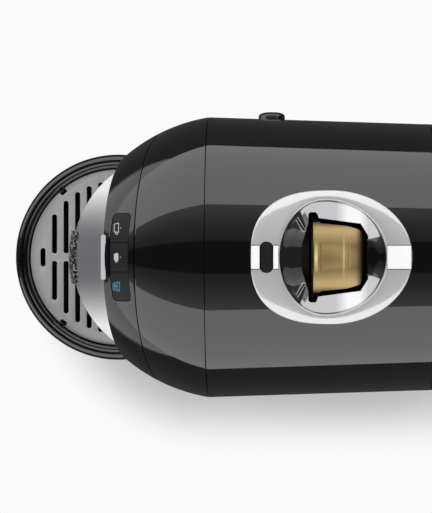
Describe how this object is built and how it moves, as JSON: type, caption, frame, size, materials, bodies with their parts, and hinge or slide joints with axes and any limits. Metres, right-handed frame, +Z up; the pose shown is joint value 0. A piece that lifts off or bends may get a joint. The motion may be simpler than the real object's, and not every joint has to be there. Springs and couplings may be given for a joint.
{
  "type": "pod coffee machine",
  "caption": "Bullet-shaped pod coffee machine in gloss black with a chrome pod inlet on top, slanted push keys, silver spout cowl, round drip tray and rear water tank.",
  "frame": {"origin": "on the counter, under the middle of the length and width", "axes": "+Z up, -Y to the front where the drip tray is, +X to the right of someone who faces the front"},
  "size_m": [0.156, 0.3, 0.2636],
  "materials": {
    "gloss_black": "polished gloss black",
    "panel_black": "gloss black",
    "satin_silver": "satin silver paint",
    "dark_trim": "fine matte texture",
    "key_grey": "satin",
    "light_frost": "frosted",
    "ring_chrome": "mirror polished",
    "inner_black": "moulded",
    "foot_rubber": "matte",
    "screw_steel": "zinc plated",
    "grille_steel": "bead blasted",
    "tank_smoke": "smoked clear plastic",
    "valve_white": "moulded",
    "poppet_red": "silicone",
    "board_green": "solder mask",
    "frame_zinc": "zinc plated sheet",
    "spring_steel": "bright",
    "block_aluminium": "cast",
    "cutout_ceramic": "pressed",
    "pump_brass": "plain",
    "hose_silicone": "translucent silicone",
    "pod_gold": "gold lacquered",
    "pod_foil": "dark lacquered foil"
  },
  "bodies": {
    "housing": {"main_cover": "gloss_black", "nose_cover": "gloss_black", "control_panel": "panel_black", "spout_cowl": "satin_silver", "cowl_badge": "dark_trim", "spout_nozzle": "dark_trim", "spout_plate": "dark_trim", "base_skirt": "dark_trim", "light_bar": "light_frost", "inlet_ring": "ring_chrome", "inlet_funnel": "ring_chrome", "head_floor": "inner_black", "base_plate": "inner_black", "column_frame": "inner_black", "mid_deck": "inner_black", "rear_bulkhead": "inner_black", "tank_socket": "inner_black", "power_inlet": "inner_black", "brew_head": "inner_black", "power_switch": "inner_black", "rubber_feet": "foot_rubber", "pump_mounts": "foot_rubber", "base_screws": "screw_steel", "flow_meter": "valve_white", "keypad_board": "board_green", "control_board": "board_green", "brew_frame": "frame_zinc", "gear_motor": "frame_zinc", "pod_gripper": "spring_steel", "guide_rods": "spring_steel", "thermoblock": "block_aluminium", "thermal_cutout": "cutout_ceramic", "pump": "pump_brass", "suction_hose": "hose_silicone", "pressure_hose": "hose_silicone", "brew_hose": "hose_silicone", "coffee_pipe": "hose_silicone"},
    "eject_key": {"eject_button": "dark_trim"},
    "large_cup_key": {"button_large_cup": "key_grey"},
    "small_cup_key": {"button_small_cup": "key_grey"},
    "hot_water_key": {"button_hot_water": "key_grey"},
    "power_key": {"power_button": "panel_black"},
    "tray": {"drip_tray": "gloss_black", "tray_rim": "gloss_black"},
    "grille": {"cup_grille": "grille_steel"},
    "drawer": {"pod_drawer": "inner_black", "drawer_front": "gloss_black"},
    "tank": {"water_tank": "tank_smoke", "valve_body": "valve_white", "valve_seal": "foot_rubber"},
    "lid": {"tank_lid": "gloss_black"},
    "valve": {"valve_poppet": "poppet_red"},
    "chamber": {"brew_chamber": "block_aluminium", "chamber_seal": "poppet_red", "drive_rack": "valve_white"},
    "pinion": {"drive_pinion": "valve_white"},
    "pod": {"pod_body": "pod_gold", "pod_flange": "pod_foil"}
  },
  "joints": [
    {"name": "large_cup_press", "type": "slide", "parent": "housing", "child": "large_cup_key", "axis": [0, 0.6136, -0.7896], "range_m": [0, 0.001], "stiffness_N_per_m": 400, "springref_m": -0.0005},
    {"name": "small_cup_press", "type": "slide", "parent": "housing", "child": "small_cup_key", "axis": [0, 0.6136, -0.7896], "range_m": [0, 0.001], "stiffness_N_per_m": 400, "springref_m": -0.0005},
    {"name": "hot_water_press", "type": "slide", "parent": "housing", "child": "hot_water_key", "axis": [0, 0.6136, -0.7896], "range_m": [0, 0.001], "stiffness_N_per_m": 400, "springref_m": -0.0005},
    {"name": "eject_press", "type": "slide", "parent": "housing", "child": "eject_key", "axis": [0, 0, -1], "range_m": [0, 0.001], "stiffness_N_per_m": 400, "springref_m": -0.0005},
    {"name": "power_press", "type": "slide", "parent": "housing", "child": "power_key", "axis": [1, 0, 0], "range_m": [0, 0.0015], "stiffness_N_per_m": 400, "springref_m": -0.0005},
    {"name": "tray_pull", "type": "slide", "parent": "housing", "child": "tray", "axis": [0, -1, 0], "range_m": [0, 0.17]},
    {"name": "grille_lift", "type": "slide", "parent": "tray", "child": "grille", "axis": [0, 0, 1], "range_m": [0, 0.06]},
    {"name": "drawer_pull", "type": "slide", "parent": "housing", "child": "drawer", "axis": [0, -1, 0], "range_m": [0, 0.1]},
    {"name": "tank_lift", "type": "slide", "parent": "housing", "child": "tank", "axis": [0, 0, 1], "range_m": [0, 0.15]},
    {"name": "lid_lift", "type": "slide", "parent": "tank", "child": "lid", "axis": [0, 0, 1], "range_m": [0, 0.08]},
    {"name": "valve_open", "type": "slide", "parent": "tank", "child": "valve", "axis": [0, 0, 1], "range_m": [0, 0.002], "stiffness_N_per_m": 150, "springref_m": -0.001},
    {"name": "chamber_close", "type": "slide", "parent": "housing", "child": "chamber", "axis": [0, -1, 0], "range_m": [0, 0.0281]},
    {"name": "pinion_turn", "type": "hinge", "parent": "housing", "child": "pinion", "pos_m": [0.0274, 0.051, 0.196], "axis": [1, 0, 0], "range_deg": [-6, 285]},
    {"name": "pod_lift", "type": "slide", "parent": "housing", "child": "pod", "axis": [0, 0, 1], "range_m": [0, 0.08]}
  ],
  "couplings": [
    {"joint": "pinion_turn", "follows": "chamber_close", "rad_per_m": 166.67}
  ]
}
